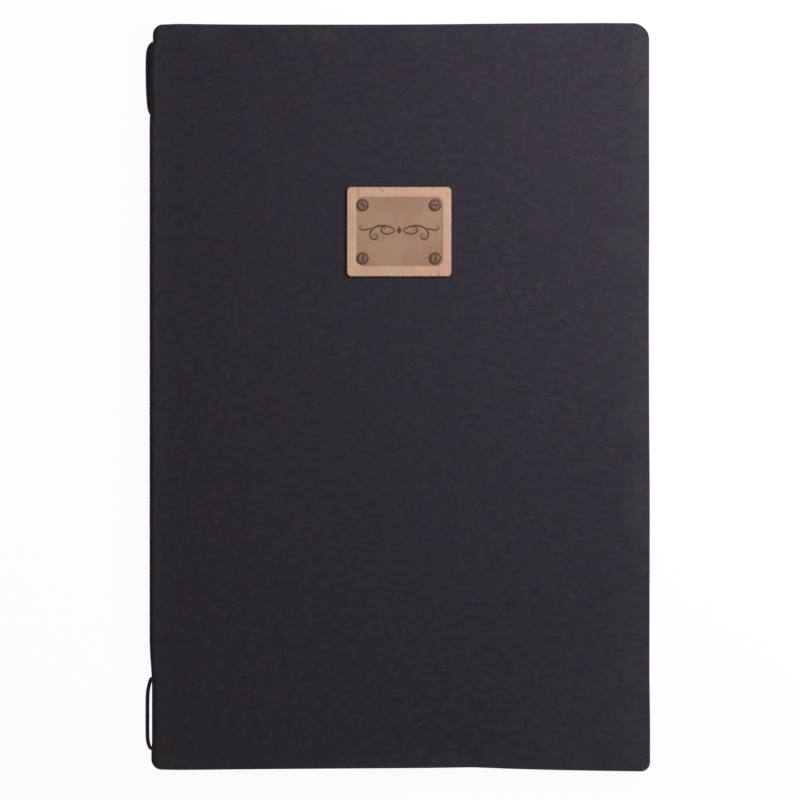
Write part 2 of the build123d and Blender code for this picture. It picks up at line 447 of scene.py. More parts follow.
def tinted(tree, colour, mask, amount, tint):
    """A colour with some of another one, by amount, where a mask shows it."""
    return mixed(tree, times(tree, mask, amount), colour, tint)


def scaled(tree, vector, scale=(1, 1, 1), shift=(0, 0, 0)):
    inputs = {0: vector, 1: scale, 2: shift}
    return put(tree, "ShaderNodeVectorMath", inputs, operation="MULTIPLY_ADD").outputs[0]


def split(tree, vector):
    """A vector's X, Y and Z."""
    return put(tree, "ShaderNodeSeparateXYZ", {0: vector}).outputs


def apart(tree, value, place):
    """How far a value is from a place, on either side."""
    return math_of(tree, "ABSOLUTE", math_of(tree, "SUBTRACT", value, place))


def cloud(tree, vector, scale, detail=2.0, roughness=0.5, warp=0.0):
    """Soft noise from 0 to 1, with spots one over scale metres across."""
    inputs = {
        "Vector": vector, "Scale": scale, "Detail": detail, "Roughness": roughness, "Distortion": warp,
    }
    return put(tree, "ShaderNodeTexNoise", inputs).outputs[0]


def new_group(name, inputs, outputs):
    """An effect for several materials: its tree, the sockets it reads and the node it fills."""
    group = bpy.data.node_groups.new(name, "ShaderNodeTree")
    for socket, kind in inputs.items():
        group.interface.new_socket(socket, in_out="INPUT", socket_type="NodeSocket" + kind)
    for socket in outputs:
        group.interface.new_socket(socket, in_out="OUTPUT", socket_type="NodeSocketFloat")
    return group, put(group, "NodeGroupInput").outputs, put(group, "NodeGroupOutput").inputs


fibre_slimness = 0.4
fleck_start = 0.72
fleck_softness = 0.07


def fibre_flecks():
    """Short fibres that lie lengthwise and show lighter or darker, thicker in some places."""
    tree, given, result = new_group(
        "fibre_flecks",
        {"Vector": "Vector", "Fibre Width": "Float", "Amount": "Float"},
        ("Light", "Dark", "Height"),
    )
    unit = math_of(tree, "DIVIDE", 1.0, given["Fibre Width"])
    inputs = {0: given["Vector"], "Scale": unit}
    place = put(tree, "ShaderNodeVectorMath", inputs, operation="SCALE").outputs[0]
    spread = within(tree, cloud(tree, place, 0.03, 2.0), 0.35, 0.62, -0.05, 0.035)
    level = math_of(tree, "SUBTRACT", fleck_start, math_of(tree, "ADD", spread, given["Amount"]))
    for name, shift in (("Light", (0, 0, 0)), ("Dark", (41.3, 17.9, 5.1))):
        fleck = cloud(tree, scaled(tree, place, (fibre_slimness, 1, 1), shift), 0.8, 1.5, warp=0.4)
        shown = within(tree, fleck, level, math_of(tree, "ADD", level, fleck_softness))
        tree.links.new(shown, result[name])
    fine = cloud(tree, scaled(tree, place, (0.5, 1, 1)), 2.2, 3.0, 0.6)
    tree.links.new(fine, result["Height"])
    return tree


edge_unevenness = 2.4


def edge_mask():
    """How strongly a place is marked by its nearness to the edges of a round cornered sheet about the
    origin.
    """
    sizes = ("Half Width", "Half Height", "Corner", "Reach", "Spot Size")
    tree, given, result = new_group(
        "edge_mask", {"Vector": "Vector", **dict.fromkeys(sizes, "Float")}, ("Mask",),
    )
    axes = split(tree, given["Vector"])
    beyond = []
    for axis, half in (("X", "Half Width"), ("Y", "Half Height")):
        from_side = math_of(tree, "SUBTRACT", math_of(tree, "ABSOLUTE", axes[axis]), given[half])
        beyond.append(math_of(tree, "ADD", from_side, given["Corner"]))
    squares = [math_of(tree, "POWER", math_of(tree, "MAXIMUM", value, 0.0), 2.0) for value in beyond]
    round_corner = math_of(tree, "SQRT", math_of(tree, "ADD", *squares))
    straight_side = math_of(tree, "MINIMUM", math_of(tree, "MAXIMUM", *beyond), 0.0)
    nearest = math_of(tree, "SUBTRACT", math_of(tree, "ADD", round_corner, straight_side), given["Corner"])
    finer = math_of(tree, "DIVIDE", 1.0, given["Spot Size"])
    uneven = math_of(tree, "SUBTRACT", cloud(tree, given["Vector"], finer, 3.0), 0.5)
    spread = times(tree, given["Reach"], edge_unevenness)
    shifted = math_of(tree, "MULTIPLY_ADD", uneven, spread, nearest)
    share = math_of(tree, "DIVIDE", shifted, given["Reach"])
    tree.links.new(within(tree, share, -1.0, 0.15), result["Mask"])
    return tree


crease_spots = 900
crease_share = 0.8


def leather_grain():
    """Fine pores and creases of leather, as a height."""
    tree, given, result = new_group("leather_grain", {"Vector": "Vector", "Pore": "Float"}, ("Height",))
    scale = math_of(tree, "DIVIDE", 1.0, given["Pore"])
    pores = put(tree, "ShaderNodeTexVoronoi", {"Vector": given["Vector"], "Scale": scale})
    pits = within(tree, pores.outputs["Distance"], 0.05, 0.6)
    creases = cloud(tree, given["Vector"], crease_spots, 4.0, 0.65)
    tree.links.new(math_of(tree, "MULTIPLY_ADD", creases, crease_share, pits), result["Height"])
    return tree


fibre_group = fibre_flecks()
edge_mask_group = edge_mask()
grain_group = leather_grain()


def effect(tree, group, vector, settings):
    """What a shared effect puts out over a surface, with this material's settings."""
    return put(tree, "ShaderNodeGroup", {"Vector": vector, **settings}, node_tree=group).outputs


def finished(name, colours, relief, surface, *details):
    """A material. The surface function gives its shader's inputs, and its height where it has relief."""
    made = bpy.data.materials.new(name)
    made.use_nodes = True
    tree = made.node_tree
    inputs, height = surface(tree, {key: tone(colour) for key, colour in colours.items()}, *details)
    if relief:
        bump = put(tree, "ShaderNodeBump", {"Height": height, "Distance": relief})
        inputs["Normal"] = bump.outputs[0]
    feed(tree, tree.nodes["Principled BSDF"], inputs)
    return made


def flat_place(tree):
    """A point's place on the flat sheet, which stays with the sheet when it bends."""
    return put(tree, "ShaderNodeUVMap", uv_map="flat").outputs[0]


# The facing's finish: sizes in metres, a turn in radians and its clouds' spots to a metre
nap_fibres = {"Fibre Width": 0.0016, "Amount": 0.07}
scuff_fibres = {"Fibre Width": 0.0023, "Amount": 0.055}
scuff_turn = 1.35
# A wide paler band along the sheet's edges, reaching past the head and foot
lighter_band_spread = {"Reach": 0.018, "Spot Size": 0.02}
lighter_band_spill = 0.006
# The lighter very edge, partly wear and partly a painted highlight of the rounded cut edges
worn_and_highlit_rim = {"Reach": 0.0008, "Spot Size": 0.0017}
facing_spots = {"ashen": 85, "brown": 75, "nap": 300, "fuzz": 4500}
brown_from, brown_to = 0.04, 0.1
fold_rub = 0.012
thumb_reach = 0.08
facing_pore = 0.0007
facing_relief = 0.00005


def nubuck_surface(tree, colours):
    place = flat_place(tree)
    fibres = effect(tree, fibre_group, place, nap_fibres)
    turned = put(tree, "ShaderNodeMapping", {"Vector": place, "Rotation": (0, 0, scuff_turn)})
    scuffs = effect(tree, fibre_group, turned.outputs[0], scuff_fibres)
    from_middle = (fold_length + spine_width / 2) * MM
    from_spine = scaled(tree, place, shift=(from_middle, 0, 0))
    axes = split(tree, from_spine)
    across = math_of(tree, "ABSOLUTE", axes["X"])
    ashen = within(tree, cloud(tree, place, facing_spots["ashen"], 4.0, 0.6), 0.44, 0.66, 0.0, 0.4)
    elsewhere = scaled(tree, place, shift=(3.1, 1.7, 0))
    browner = within(tree, across, brown_from, brown_to, 0.48, 0.17)
    brown = within(tree, cloud(tree, elsewhere, facing_spots["brown"], 4.0, 0.6), 0.46, 0.66)
    lying = scaled(tree, place, (0.8, 1, 1))
    nap = within(tree, cloud(tree, lying, facing_spots["nap"], 4.0, 0.6, 0.3), 0.3, 0.7)
    finer = scaled(tree, place, (0.6, 1, 1))
    fuzz = within(tree, cloud(tree, finer, facing_spots["fuzz"], 3.0, 0.6, 0.5), 0.3, 0.7)
    sheet_half = Vector((from_middle / MM + panel_width, half_height)) * MM
    rims = {}
    for name, spill, band in (("handled", lighter_band_spill, lighter_band_spread), ("worn", 0, worn_and_highlit_rim)):
        size = {
            "Half Width": sheet_half.x, "Half Height": sheet_half.y + spill,
            "Corner": sum(corner_rs) / 2 * MM,
        }
        rims[name] = effect(tree, edge_mask_group, from_spine, {**size, **band})["Mask"]
    fold_middle = (spine_width + fold_length) / 2 * MM
    rubbed = within(tree, apart(tree, across, fold_middle), 0.0, fold_rub, 0.8, 0.0)
    handled = math_of(tree, "MAXIMUM", rims["handled"], rubbed)
    beside = math_of(tree, "POWER", math_of(tree, "SUBTRACT", sheet_half.x, across), 2.0)
    below = math_of(tree, "POWER", math_of(tree, "ADD", axes["Y"], sheet_half.y), 2.0)
    thumbed = within(tree, math_of(tree, "ADD", beside, below), 0.0, thumb_reach**2, 0.09, 0.0)
    colour = mixed(tree, ashen, colours["base"], colours["ashen"])
    colour = tinted(tree, colour, brown, browner, colours["brown"])
    # Paler in a wide band along the sheet's edges, and where the folds are rubbed.
    colour = tinted(tree, colour, handled, 0.48, colours["handled"])
    colour = mixed(tree, math_of(tree, "MULTIPLY_ADD", nap, 0.08, thumbed), colour, colours["light"])
    # At the very edge the colour is lighter, partly wear and partly a painted highlight of the rounded cut
    # edges.
    for mask, amount, tint in (
        (fibres["Dark"], 0.29, "dark"), (fibres["Light"], 0.15, "light"),
        (scuffs["Dark"], 0.22, "dark"), (scuffs["Light"], 0.16, "light"),
        (rims["worn"], 0.45, "worn"), (math_of(tree, "SUBTRACT", 1.0, fuzz), 0.11, "dark"),
    ):
        colour = tinted(tree, colour, mask, amount, colours[tint])
    grain = effect(tree, grain_group, place, {"Pore": facing_pore})
    height = math_of(tree, "ADD", fibres["Height"], times(tree, grain["Height"], 0.25))
    height = math_of(tree, "MULTIPLY_ADD", fibres["Light"], 0.6, height)
    height = math_of(tree, "MULTIPLY_ADD", fuzz, 0.5, height)
    return {
        "Base Color": colour, "Roughness": within(tree, nap, 0.0, 1.0, 0.95, 0.82),
        "Specular IOR Level": 0.08, "Sheen Weight": 0.03, "Sheen Roughness": 0.45,
    }, height


nubuck = finished("charcoal_nubuck", facing_colours, facing_relief, nubuck_surface)
sides = (("back", False), ("front", True))
spine_middle = -fold_length - spine_width / 2
cord_holes = [((spine_middle, y, 0), hole_radius, punch_length * facing_t) for y in cord_hole_ys]
label_y = 75.1
rivet_x, rivet_y = 33.1 / 2, 24.3 / 2
rivet_places = [(x, y) for x in (-rivet_x, rivet_x) for y in (-rivet_y, rivet_y)]
shank_hole_r = 1.15


def rivet_holes(radius, middle_depth, depth):
    """Round holes under the label's four rivets, in the flat front sheet."""
    return [((x - tangent_x, label_y + y, middle_depth), radius, depth) for x, y in rivet_places]


def panel_sheet(left, thickness, edge_round, seams=()):
    return flat_sheet(left, panel_width, half_height, thickness, edge_round, seams, corner_rs)


def mirrored(*points):
    """The same places on the cover's front half."""
    return [Vector((p.x, p.y, closed_t * MM - p.z)) for p in points]


def bends_at_fold(piece, depth, front=False):
    """Bakes the layer's place into its mesh. The depth is its middle's, inwards from the outside."""
    at_spine = Vector((spine_x + depth, 0, fold_outer_r)) * MM
    at_panel = Vector((tangent_x, 0, depth)) * MM
    if front:
        at_spine, at_panel = mirrored(at_spine, at_panel)
        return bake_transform(piece)
    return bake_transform(piece)


for side, is_front in sides:
    skin_bm = panel_sheet(spine_middle, facing_t, facing_edge_round, (spine_middle,))
    rivet_shanks = rivet_holes(shank_hole_r, 0, punch_length * facing_t) if is_front else []
    skin_bm = punched(skin_bm, cord_holes + rivet_shanks)
    marked_flat(scored(skin_bm, panel_lines, height_lines), is_front)
    skin = closed_up(skin_bm, f"{side}_skin", nubuck, is_front)
    bends_at_fold(skin, facing_t / 2, is_front)
    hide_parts(f"{side}_facing", f"{side}_fold_facing", "spine_facing")

# Boards, one stiff grey fibre board behind each facing panel. Each is skived thin towards its fold,
# so that the lining runs down without a step. The front one is bored for the rivets and washers.

board_low, board_high = corners_mm("back_board")
board_left = board_low.x - tangent_x
board_t = board_high.z - board_low.z
board_skive = 1.2
board_edge_round = 0.08
board_feather = 0.05
washer_recess_r = 2.7
washer_recess_depth = 0.75
board_colours = {"base": (112, 103, 96), "light": (150, 141, 132), "dark": (78, 71, 67)}
board_fibres = {"Fibre Width": 0.00022, "Amount": 0.17}
board_relief = 0.00008


def lifted(bm, low, share=None):
    """Raises a flat layer to its level, at each place across the sheet, and thins it where it is skived."""
    for v in bm.verts:
        v.co.z = low(v.co.x) + v.co.z * (share(v.co.x) if share else 1)
    return bm


def straight(value, start, end):
    """0 before start, 1 after end and straight between them."""
    return min(1, max(0, (value - start) / (end - start)))


def skived(x):
    return max(board_feather, straight(x, board_left, board_left + board_skive))


def board_surface(tree, colours):
    fibres = effect(tree, fibre_group, flat_place(tree), board_fibres)
    colour = tinted(tree, colours["base"], fibres["Dark"], 0.7, colours["dark"])
    colour = tinted(tree, colour, fibres["Light"], 0.6, colours["light"])
    return {"Base Color": colour, "Roughness": 0.95, "Specular IOR Level": 0.15}, fibres["Height"]


fibre_board = finished("grey_fibre_board", board_colours, board_relief, board_surface)
board_lines = [board_left + board_skive / 2, board_left + board_skive] + panel_lines[fold_steps + 3:]
for side, is_front in sides:
    board_bm = panel_sheet(board_left, board_t, board_edge_round)
    if is_front:
        board_bm = punched(board_bm, rivet_holes(shank_hole_r, 0, punch_length * board_t))
        board_bm = punched(board_bm, rivet_holes(washer_recess_r, board_t, 2 * washer_recess_depth))
    scored(board_bm, board_lines, height_lines)
    marked_flat(board_bm, is_front)
    lifted(board_bm, lambda x: facing_t, skived)
    board = closed_up(board_bm, f"{side}_stiffener", fibre_board, is_front)
    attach(board, side)
    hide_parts(f"{side}_board")

# Spine strip, a narrower and thinner stiffener between the two folds. It is glued behind the spine's
# facing and punched in the same places for the elastic.

strip_low, strip_high = corners_mm("spine_strip")
strip_t = strip_high.x - strip_low.x
strip_margin = strip_low.z - fold_outer_r
strip_skive = 0.3
strip_right = -fold_length - strip_margin
strip_left = strip_right - (spine_width - 2 * strip_margin)


def spine_build(x):
    """The share of the strip's full thickness at a place across the spine."""
    from_edge = min(x - strip_left, strip_right - x)
    return straight(from_edge, 0, strip_skive)


strip_bm = flat_sheet(strip_left, strip_right, half_height, strip_t, board_edge_round)
strip_bm = punched(strip_bm, cord_holes)
strip_lines = [strip_left + strip_skive, strip_right - strip_skive]
marked_flat(scored(strip_bm, strip_lines, height_lines))
lifted(strip_bm, lambda x: facing_t, lambda x: max(board_feather, spine_build(x)))
strip = closed_up(strip_bm, "spine_stiffener", fibre_board)
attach(strip, "spine")
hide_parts("spine_strip")

# Cover lining, a thin black book cloth over the inner faces of front, spine and back. It is bonded
# to the boards, follows their skived edges down to the facing, and folds with it.

lining_t = corners_mm("back_lining")[1].z - board_high.z
lining_edge_round = 0.08
lining_relief = 0.00006
glue_t = 0.02
# The cloth's hollows and raised threads; the difference between them is painted shade
lining_colours = {"base": (33, 32, 35), "thread": (50, 49, 53)}
thread_pitch = 0.00042


def weave():
    """The height of a plain weave whose threads are one unit apart."""
    tree, given, result = new_group("weave", {"Vector": "Vector"}, ("Height",))
    axes = split(tree, given["Vector"])[:2]
    waves = [math_of(tree, "ABSOLUTE", math_of(tree, "SINE", times(tree, axis, math.pi))) for axis in axes]
    cells = [math_of(tree, "FLOOR", axis) for axis in axes]
    odd = math_of(tree, "PINGPONG", math_of(tree, "ADD", *cells), 1.0)
    upright = times(tree, waves[0], odd)
    lying = times(tree, waves[1], math_of(tree, "SUBTRACT", 1.0, odd))
    tree.links.new(math_of(tree, "ADD", upright, lying), result["Height"])
    return tree


weave_group = weave()


def cloth_surface(tree, colours):
    place = flat_place(tree)
    threads = scaled(tree, place, (1 / thread_pitch, 1 / thread_pitch, 1))
    inputs = {0: threads, 1: cloud(tree, place, 180, 2.0)}
    wavy = put(tree, "ShaderNodeVectorMath", inputs, operation="ADD").outputs[0]
    cloth = effect(tree, weave_group, wavy, {})["Height"]
    slub = within(tree, cloud(tree, scaled(tree, place, (0.15, 1, 1)), 1500, 2.0), 0.5, 0.75)
    # Darker in the weave's hollows and lighter on its raised threads, painted shade of the weave's relief,
    # and lighter along slubbed threads here and there.
    share = math_of(tree, "MULTIPLY_ADD", slub, 0.45, times(tree, cloth, 0.5))
    return {
        "Base Color": mixed(tree, share, colours["base"], colours["thread"]),
        "Roughness": 0.85, "Specular IOR Level": 0.15, "Sheen Weight": 0.08,
    }, cloth


def lining_level(x):
    """How deep the lining lies: down on the facing at a fold, and up on what stiffens spine or panel."""
    rise, under = spine_build(x), strip_t
    if x > -fold_length:
        rise, under = straight(x, board_left, board_left + board_skive), board_t
    return facing_t + glue_t * (1 - rise) + under * rise


book_cloth = finished("black_book_cloth", lining_colours, lining_relief, cloth_surface)
lining_lines = fold_lines + board_lines + [board_left, strip_right - strip_skive, strip_right]
for side, is_front in sides:
    lining_bm = punched(panel_sheet(spine_middle, lining_t, lining_edge_round, (spine_middle,)), cord_holes)
    marked_flat(scored(lining_bm, lining_lines, height_lines), is_front)
    lifted(lining_bm, lining_level)
    lining = closed_up(lining_bm, f"{side}_cloth", book_cloth, is_front)
    bends_at_fold(lining, facing_t + glue_t + lining_t / 2, is_front)
    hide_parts(f"{side}_lining", f"{side}_fold_lining", "spine_lining")

# Elastic, one round braided cord threaded through the spine's four punched holes. Outside it shows as
# a short stretch at each end, slack at the head, and inside it holds the pockets. A crimp joins its ends.

mid_z = closed_t / 2
strand_r = 0.72
loop_r = 0.82
slack_r = 1.08
cord_roundness = 3
braid_carriers = 8
braid_pitch = 0.00045
braid_relief = 0.00012
# The braid's hollows and raised threads; the difference between them is painted shade and highlight
elastic_colours = {"base": (33, 31, 35), "thread": (60, 57, 62)}
steel_colours = {"drawn": (150, 150, 152), "bright": (196, 196, 198), "dented": (120, 119, 120)}
steel_relief = 0.00001

# The cord's middle line: places across and up the page, and the cord's radius where it is stretched less
elastic_route = (
    (-111.0, 20.2, 0.70), (-111.0, 24, 0.70), (-111.0, 60, strand_r), (-111.0, 100, strand_r),
    (-111.0, 118, strand_r), (-110.6, 125, strand_r), (-110.55, 128.9, strand_r),
    (-112.4, 128.9, 0.76), (-113.5, 129.2, loop_r), (-114.15, 131.6, 1.0), (-114.52, 136.5, 1.08),
    (-114.75, 141, slack_r), (-114.85, 148, slack_r), (-114.85, 154, slack_r), (-114.7, 157.5, 1.0),
    (-114.0, 160.0, 0.9), (-113.0, 161.3, 0.78), (-111.6, 161.25, 0.74),
    (-110.0, 161.2, strand_r), (-107.75, 161.2, strand_r),
    (-107.75, 155, strand_r), (-107.75, 100, strand_r), (-107.75, 0, strand_r),
    (-107.75, -100, strand_r), (-107.75, -155, strand_r), (-107.75, -161.2, strand_r),
    (-110.4, -161.2, strand_r), (-112.4, -161.2, 0.76), (-113.8, -160.9, loop_r),
    (-114.75, -158.6, 0.88), (-115.08, -155.5, 0.9), (-115.08, -145, 0.9),
    (-115.05, -135.8, 0.9), (-114.4, -132.4, 0.86), (-113.6, -129.2, loop_r),
    (-112.6, -128.9, 0.76), (-110.6, -128.9, strand_r),
    (-110.55, -126.0, strand_r), (-110.6, -115, strand_r), (-111.0, -98, strand_r),
    (-111.0, -50, strand_r), (-111.0, 10, strand_r), (-111.0, 16, 0.70), (-111.0, 19.8, 0.70),
)


def braid_surface(tree, colours):
    axes = split(tree, put(tree, "ShaderNodeUVMap").outputs[0])
    along = times(tree, axes["X"], 1 / braid_pitch)
    around = times(tree, axes["Y"], float(braid_carriers))
    crossing = {"X": math_of(tree, "ADD", along, around), "Y": math_of(tree, "SUBTRACT", along, around)}
    crossed = put(tree, "ShaderNodeCombineXYZ", crossing).outputs[0]
    braid = effect(tree, weave_group, crossed, {})["Height"]
    # Darker in the hollows between the raised threads and lighter on them: painted shade and highlight of
    # the braid's relief.
    colour = mixed(tree, braid, colours["base"], colours["thread"])
    return {"Base Color": colour, "Roughness": 0.7, "Specular IOR Level": 0.25}, braid


elastic_curve = bpy.data.curves.new("elastic", "CURVE")
elastic_curve.dimensions = "3D"
elastic_line = elastic_curve.splines.new("NURBS")
elastic_line.points.add(len(elastic_route) - 1)
for point, (x, y, radius) in zip(elastic_line.points, elastic_route):
    point.co = (x * MM, y * MM, mid_z * MM, 1)
    point.radius = radius / loop_r
elastic_line.order_u = 3
elastic_line.use_endpoint_u = True
elastic_line.resolution_u = 10
elastic_curve.bevel_resolution = cord_roundness
elastic_curve.use_fill_caps = True
elastic_draft = added("elastic_draft", elastic_curve)


def drafted(bevel_r):
    """The elastic as it is evaluated: its middle line, or a tube where a radius is given."""
    elastic_curve.bevel_depth = bevel_r
    evaluated = elastic_draft.evaluated_get(bpy.context.evaluated_depsgraph_get())
    return bpy.data.meshes.new_from_object(evaluated)


middle_line = drafted(0)
elastic_mesh = drafted(loop_r * MM)
bpy.data.objects.remove(elastic_draft)

# The tube's map counts its rings evenly, and here gets their true lengths along the cord, in metres
stations = [v.co for v in middle_line.vertices]
lengths = [0.0]
for start, end in zip(stations, stations[1:]):
    lengths.append(lengths[-1] + (end - start).length)
for corner in elastic_mesh.uv_layers["UVMap"].data:
    corner.uv.x = lengths[round(corner.uv.x * (len(lengths) - 1))]
bpy.data.meshes.remove(middle_line)
elastic_mesh.shade_smooth()
elastic_mesh.materials.clear()
elastic_mesh.materials.append(finished("black_braid", elastic_colours, braid_relief, braid_surface))
elastic = added("elastic", elastic_mesh)
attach(elastic, "spine")
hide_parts("elastic_cord")


def object_place(tree):
    return put(tree, "ShaderNodeTexCoord").outputs["Object"]


def steel_surface(tree, colours):
    """Drawn tube, brushed along its length, with soft patches a little darker."""
    place = object_place(tree)
    drawn = cloud(tree, scaled(tree, place, (1, 0.05, 1)), 5200, 3.0)
    darker_patches = within(tree, cloud(tree, place, 700, 1.0), 0.55, 0.75)
    colour = mixed(tree, drawn, colours["drawn"], colours["bright"])
    return {
        "Base Color": mixed(tree, darker_patches, colour, colours["dented"]), "Metallic": 1.0,
        "Roughness": within(tree, drawn, 0.2, 0.8, 0.28, 0.42),
    }, drawn


def given_finish(node, finish):
    """Puts a finish on a node whose own shape shows."""
    for material_slot in frame["nodes"][node].material_slots:
        material_slot.material = finish


given_finish("elastic_crimp", finished("drawn_steel", steel_colours, steel_relief, steel_surface))

# Page pockets, four clear film sleeves welded on three sides and open at the head. Each pair is one
# folded piece of film, held in the fold by the elastic.

web_bend_rs = {"outer": 1.2, "inner": 0.9}
web_bend_steps = 6
weld_width = 2.0
weld_blur = 0.0001
rib_pitch = 0.0006
film_colours = {"clear": (240, 243, 245)}
film_edge_round = 0.03
film_relief = 0.0004


def film_surface(tree, colours, layer):
    """Clear film with faint scuffs, milky and finely ribbed where a sleeve is welded."""
    place = object_place(tree)
    axes = split(tree, place)
    low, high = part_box(f"{layer}_back_sleeve")
    half_weld = weld_width * MM / 2
    from_middle = apart(tree, axes["X"], (low.x + high.x) / 2)
    from_sides = apart(tree, from_middle, (high.x - low.x) / 2 - half_weld)
    from_foot = apart(tree, axes["Y"], low.y + half_weld)
    from_weld = math_of(tree, "MINIMUM", from_sides, from_foot)
    weld = within(tree, from_weld, half_weld - weld_blur, half_weld, 1.0, 0.0)
    across_ribs = times(tree, math_of(tree, "ADD", axes["X"], axes["Y"]), math.tau / rib_pitch)
    ribs = times(tree, math_of(tree, "SINE", across_ribs), weld)
    ripple = cloud(tree, scaled(tree, place, (1, 0.25, 1)), 45, 2.0, 0.4)
    scuffs = within(tree, cloud(tree, scaled(tree, place, (0.12, 1, 1)), 900, 3.0, 0.6), 0.62, 0.78)
    milky = math_of(tree, "MULTIPLY_ADD", weld, 0.2, 0.1)
    return {
        "Base Color": colours["clear"], "Specular IOR Level": 0.6,
        "Alpha": math_of(tree, "MULTIPLY_ADD", scuffs, 0.08, milky),
        "Roughness": within(tree, scuffs, 0.0, 1.0, 0.12, 0.35),
    }, math_of(tree, "MULTIPLY_ADD", ribs, 0.06, ripple)


films = {
    layer: finished(f"clear_film_{layer}", film_colours, film_relief, film_surface, layer)
    for layer in ("outer", "inner")
}
pocket_leaves = [(layer, side) for layer in ("outer", "inner") for side in ("back", "front")]
for layer, side in pocket_leaves:
    given_finish(f"{layer}_{side}_sleeve", films[layer])
    web_low, web_high = corners_mm(f"{layer}_pocket_web")
    bend_r = web_bend_rs[layer]
    leaf_low, leaf_high = corners_mm(f"{layer}_back_sleeve")
    leaf_z = (leaf_low.z + leaf_high.z) / 2
    film_pair_t = 2 * (leaf_z - web_low.z)
    web_x = web_low.x + film_pair_t / 2
    upright = mid_z - leaf_z - bend_r
    arc = bend_r * math.pi / 2
    root = web_high.x - web_x - bend_r
    web_bm = flat_sheet(0, upright + arc + root, web_high.y, film_pair_t, film_edge_round)
    scored(web_bm, [upright + arc * step / web_bend_steps for step in range(web_bend_steps + 1)])
    for v in web_bm.verts:
        past = min(arc, max(0, v.co.x - upright)) / bend_r
        radius = bend_r + film_pair_t / 2 - v.co.z
        x = web_x + bend_r - radius * math.cos(past) + max(0, v.co.x - upright - arc)
        z = leaf_z + bend_r - radius * math.sin(past) + max(0, upright - v.co.x)
        v.co = Vector((x, v.co.y, z if side == "back" else closed_t - z)) * MM
    facing_out(web_bm)
    web = as_piece(web_bm, f"{layer}_{side}_web", films[layer])
    bend_start = Vector((web_x, 0, leaf_z + bend_r)) * MM
    bend_end = Vector((web_x + bend_r, 0, leaf_z)) * MM
    if side == "front":
        bend_start, bend_end = mirrored(bend_start, bend_end)
    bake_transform(web)
    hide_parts(f"{layer}_pocket_web")

# Pages, one blank sheet of uncoated card in each sleeve. It is cut square, slides in from the head and
# rests on the sleeve's foot weld.

page_t = 0.2
page_edge_round = 0.03
page_colours = {"base": (244, 241, 235), "fibre": (228, 223, 214)}
page_fibres = {"Fibre Width": 0.00025, "Amount": 0.13}
page_relief = 0.00003


def card_surface(tree, colours):
    fibres = effect(tree, fibre_group, object_place(tree), page_fibres)
    colour = tinted(tree, colours["base"], fibres["Dark"], 0.5, colours["fibre"])
    return {"Base Color": colour, "Roughness": 0.8, "Specular IOR Level": 0.25}, fibres["Height"]


card = finished("blank_card", page_colours, page_relief, card_surface)
for layer, side in pocket_leaves:
    low, high = corners_mm(f"{layer}_{side}_sheet")
    middle = (low + high) / 2
    page_bm = flat_sheet(low.x, high.x, (high.y - low.y) / 2, page_t, page_edge_round)
    bmesh.ops.translate(page_bm, vec=(0, middle.y, middle.z - page_t / 2), verts=page_bm.verts)
    bmesh.ops.scale(page_bm, vec=(MM, MM, MM), verts=page_bm.verts)
    page = as_piece(page_bm, f"{layer}_{side}_page", card)
    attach(page, f"{layer}_{side}_leaf")
    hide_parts(f"{layer}_{side}_sheet")

# Label, a patch of undyed vegetable tanned leather. Its middle is pressed down into a darker field,
# a scroll ornament is burnt into the field, and the border has a few nicks and cracks.

label_low, label_high = corners_mm("label_patch")
label_half = Vector(((label_high.x - label_low.x) / 2, (label_high.y - label_low.y) / 2))
label_t = label_high.z - label_low.z
label_pitch = 0.24
label_corner_r = 2.0
label_lip = 0.4
lip_steps = 4
label_foot_round = 0.1
label_swell = 0.03
swell_scale = 0.35
field_half = Vector((20.0, 16.0))
field_corner_r = 3.4
field_depth = 0.25
press_soft = (-0.55, 0.2)
burn_depth = 0.09
stroke_soft = (-0.16, 0.14)
crack_depth = 0.12
crack_soft = (-0.1, 0.14)
mark_names = ("pressed", "burnt", "cracked")
label_colours = {
    "border": (196, 160, 134),
    "border_pink": (199, 156, 134),
    "border_pale": (201, 170, 139),
    "field": (162, 129, 104),
    "field_dark": (155, 119, 98),
    "burnt": (56, 35, 24),
    "edge": (128, 94, 70),
}
label_fibres = {"Fibre Width": 0.0003, "Amount": 0.12}
label_rim = {"Reach": 0.0006, "Spot Size": 0.0017}
label_pore = 0.0005
label_relief = 0.00003
ornament_size = 0.92
ornament_lift = 0.6
stroke_step = 0.08
stroke_start = 0.12
stroke_thinnest = 0.35
stroke_fullness = 0.7

# Each scroll of the ornament's right half: its start, its heading in degrees, its length, its curl at
# the start and at the end, how late it curls in, and half its stroke's width
scrolls = (
    ((2.2, 0.4), 34, 26.5, -0.085, -1.45, 3.0, 0.5),
    ((2.2, -0.4), -36, 13.5, 0.12, 1.75, 2.4, 0.44),
    ((13.75, 0.85), -3, 8.9, -0.13, 1.9, 2.0, 0.42),
)
lozenge_half = Vector((1.3, 2.0))

# Cracks and rubbed bands in the border: points from the label's centre, half the width, and depth
cracks = (
    (((-18.65, 20.6), (-18.6, 17.5), (-18.7, 15.2)), 0.62, 0.4),
    (((-19.4, 20.6), (-19.3, 17.5), (-19.5, 14.6)), 0.12, 0.7),
    (((-9.6, 20.6), (-8.4, 19.5), (-9.0, 19.0), (-7.2, 18.2)), 0.2, 1.0),
    (((-7.4, 20.6), (-7.1, 19.3)), 0.14, 0.8),
    (((15.2, 19.9), (16.0, 19.2)), 0.16, 0.8),
    (((20.3, 12.8), (22.3, 12.6)), 0.14, 0.7),
    (((13.7, -19.6), (14.3, -19.9)), 0.24, 1.0),
    (((17.6, -17.6), (17.9, -18.9), (17.7, -20.6)), 0.16, 0.9),
    (((-23.9, 6.4), (-22.2, 6.2), (-20.6, 6.3)), 0.1, 0.35),
)


